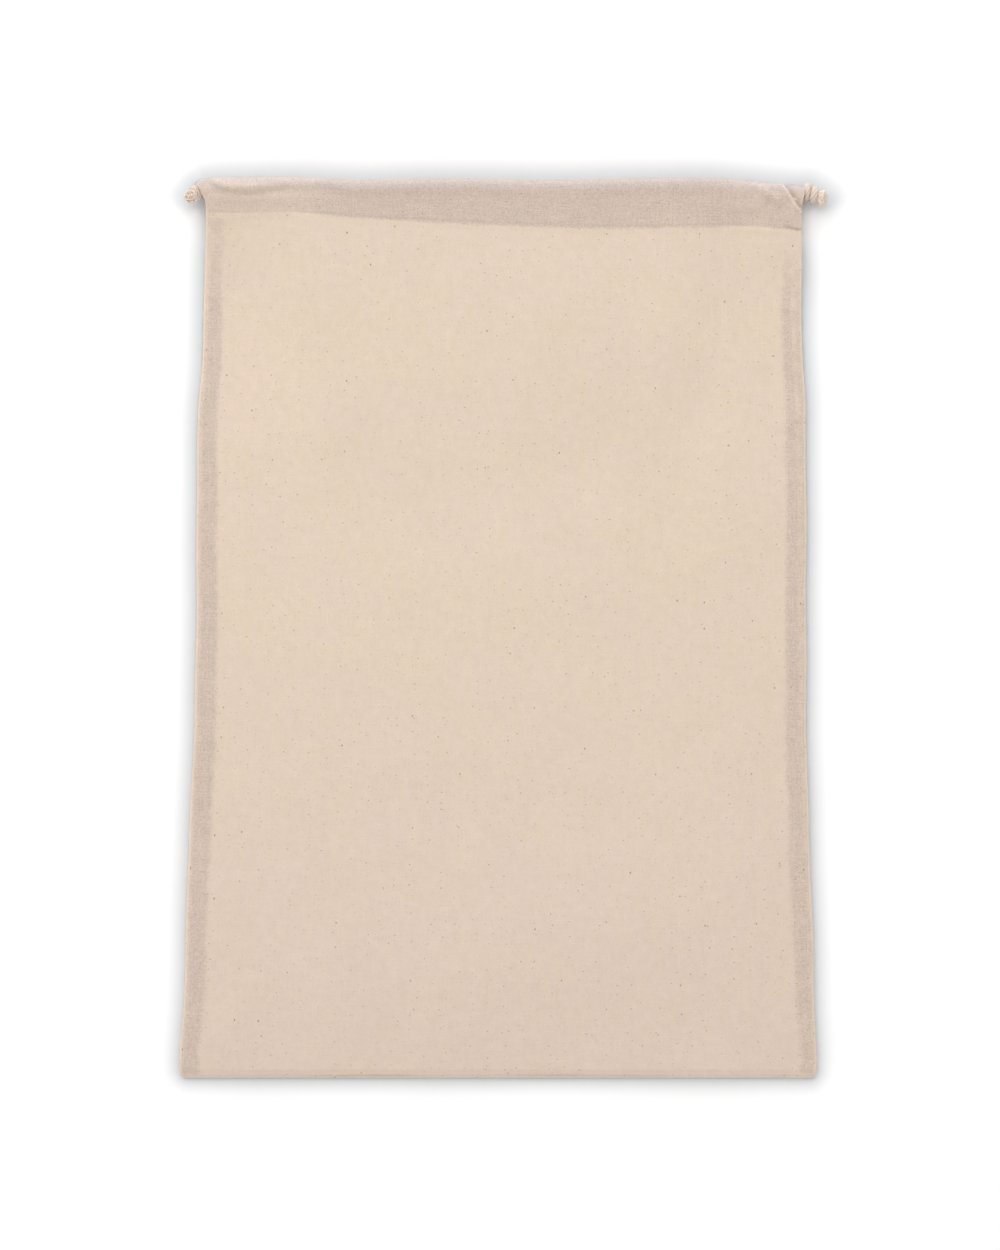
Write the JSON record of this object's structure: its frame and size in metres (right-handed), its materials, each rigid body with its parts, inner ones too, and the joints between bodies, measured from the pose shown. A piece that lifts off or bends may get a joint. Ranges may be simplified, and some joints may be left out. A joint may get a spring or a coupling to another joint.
{
  "type": "drawstring bag",
  "caption": "Flat cotton gift bag lying on its back, sewn up both sides and closed by drawcords that run through a casing round its mouth.",
  "frame": {"origin": "on the outer face of the back, under the middle of the bag", "axes": "+Y towards the mouth, +Z out of the front of the bag, +X to the right as the front is seen"},
  "size_m": [0.3257, 0.4502, 0.0174],
  "materials": {
    "calico": "plain-woven unbleached cotton with seed flecks, matt",
    "cord": "soft natural cotton cord, matt"
  },
  "bodies": {
    "root": {"bag_cloth": "calico", "drawcord_left": "cord", "drawcord_right": "cord", "knot_left": "cord", "knot_right": "cord"}
  },
  "joints": []
}
